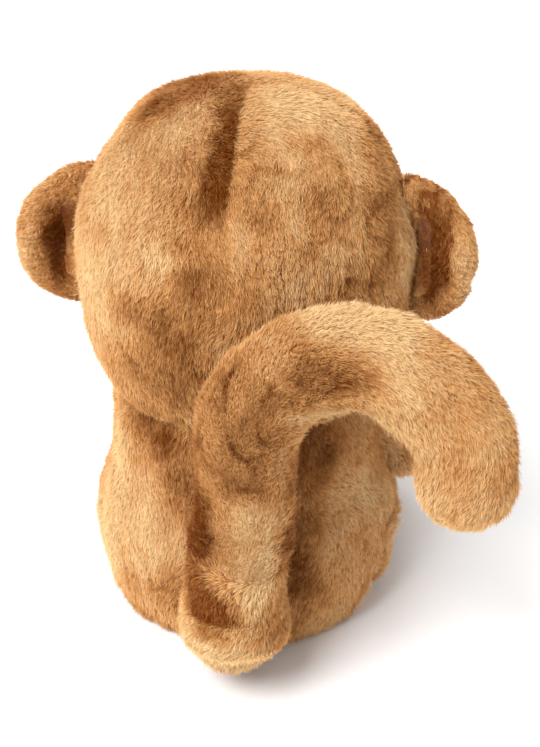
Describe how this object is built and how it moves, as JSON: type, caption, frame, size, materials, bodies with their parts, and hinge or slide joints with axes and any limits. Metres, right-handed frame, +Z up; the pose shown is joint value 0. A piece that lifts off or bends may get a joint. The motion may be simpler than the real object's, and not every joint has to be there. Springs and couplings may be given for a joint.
{
  "type": "stuffed monkey",
  "caption": "Seated plush monkey in light brown short-pile fur, with round ears and a thick tail that stands up behind it and curls over sideways in a hook.",
  "frame": {"origin": "middle of the seat's flat underside, on the surface the monkey sits on", "axes": "+Z up, the monkey faces -Y, and +X is its own left; the tail rises behind it at +Y and hooks over towards -X"},
  "size_m": [0.2576, 0.2495, 0.279],
  "materials": {
    "fur": "dense short-pile plush, light brown, brushed in patches",
    "pale_fur": "short-pile plush, cream",
    "fibre": "loose white polyester fibre",
    "seat_cloth": "plain woven cotton bag filled with pellets",
    "eye_plastic": "glossy near-black",
    "washer_plastic": "translucent white moulding",
    "nose_plastic": "glossy dark brown",
    "thread": "dark brown embroidery thread"
  },
  "bodies": {
    "torso": {"torso_back_left": "fur", "torso_back_right": "fur", "belly_panel": "fur", "seat_base": "fur", "torso_stuffing": "fibre", "pellet_bag": "seat_cloth", "tail_root_cover": "fur", "tail_root_stuffing": "fibre"},
    "neck": {"neck_stuffing": "fibre"},
    "head": {"head_back_left": "fur", "head_back_right": "fur", "head_front": "fur", "face_patch": "pale_fur", "head_stuffing": "fibre", "muzzle_cover": "pale_fur", "muzzle_stuffing": "fibre", "left_eye": "eye_plastic", "right_eye": "eye_plastic", "left_eye_washer": "washer_plastic", "right_eye_washer": "washer_plastic", "nose_button": "nose_plastic", "nose_washer": "washer_plastic", "mouth_thread": "thread"},
    "left_ear": {"left_ear_back": "fur", "left_ear_lining": "pale_fur", "left_ear_padding": "fibre"},
    "right_ear": {"right_ear_back": "fur", "right_ear_lining": "pale_fur", "right_ear_padding": "fibre"},
    "left_arm": {"left_arm_cover": "fur", "left_arm_stuffing": "fibre"},
    "right_arm": {"right_arm_cover": "fur", "right_arm_stuffing": "fibre"},
    "left_leg": {"left_leg_cover": "fur", "left_sole": "pale_fur", "left_leg_stuffing": "fibre"},
    "right_leg": {"right_leg_cover": "fur", "right_sole": "pale_fur", "right_leg_stuffing": "fibre"},
    "tail_stem": {"tail_stem_cover": "fur", "tail_stem_stuffing": "fibre"},
    "tail_hook": {"tail_hook_cover": "fur", "tail_hook_stuffing": "fibre"}
  },
  "joints": [
    {"name": "head_turn", "type": "hinge", "parent": "torso", "child": "neck", "pos_m": [0, 0, 0.091], "axis": [0, 0, 1], "range_deg": [-20, 20], "stiffness_Nm_per_rad": 2},
    {"name": "head_nod", "type": "hinge", "parent": "neck", "child": "head", "pos_m": [0, 0, 0.091], "axis": [1, 0, 0], "range_deg": [-2, 8], "stiffness_Nm_per_rad": 6},
    {"name": "left_ear_fold", "type": "hinge", "parent": "head", "child": "left_ear", "pos_m": [0.0951, 0.001, 0.197], "axis": [0, 0, 1], "range_deg": [-30, 20], "stiffness_Nm_per_rad": 0.05},
    {"name": "right_ear_fold", "type": "hinge", "parent": "head", "child": "right_ear", "pos_m": [-0.0951, 0.001, 0.197], "axis": [0, 0, 1], "range_deg": [-20, 30], "stiffness_Nm_per_rad": 0.05},
    {"name": "left_arm_lift", "type": "hinge", "parent": "torso", "child": "left_arm", "pos_m": [0.061, -0.03, 0.09], "axis": [-0.3229, -0.4659, 0.8238], "range_deg": [0, 50], "stiffness_Nm_per_rad": 0.3},
    {"name": "right_arm_lift", "type": "hinge", "parent": "torso", "child": "right_arm", "pos_m": [-0.064, -0.02, 0.09], "axis": [-0.3102, 0.9507, 0], "range_deg": [0, 60], "stiffness_Nm_per_rad": 0.3},
    {"name": "left_leg_splay", "type": "hinge", "parent": "torso", "child": "left_leg", "pos_m": [0.054, 0.002, 0.023], "axis": [0, 0, 1], "range_deg": [0, 35], "stiffness_Nm_per_rad": 0.5},
    {"name": "right_leg_splay", "type": "hinge", "parent": "torso", "child": "right_leg", "pos_m": [-0.054, 0.002, 0.023], "axis": [0, 0, 1], "range_deg": [-35, 0], "stiffness_Nm_per_rad": 0.5},
    {"name": "tail_sway", "type": "hinge", "parent": "torso", "child": "tail_stem", "pos_m": [-0.007, 0.1, 0.053], "axis": [0, 0, 1], "range_deg": [-60, 8], "stiffness_Nm_per_rad": 1},
    {"name": "tail_bend", "type": "hinge", "parent": "tail_stem", "child": "tail_hook", "pos_m": [-0.013, 0.101, 0.118], "axis": [0, 1, 0], "range_deg": [-15, 15], "stiffness_Nm_per_rad": 2}
  ]
}
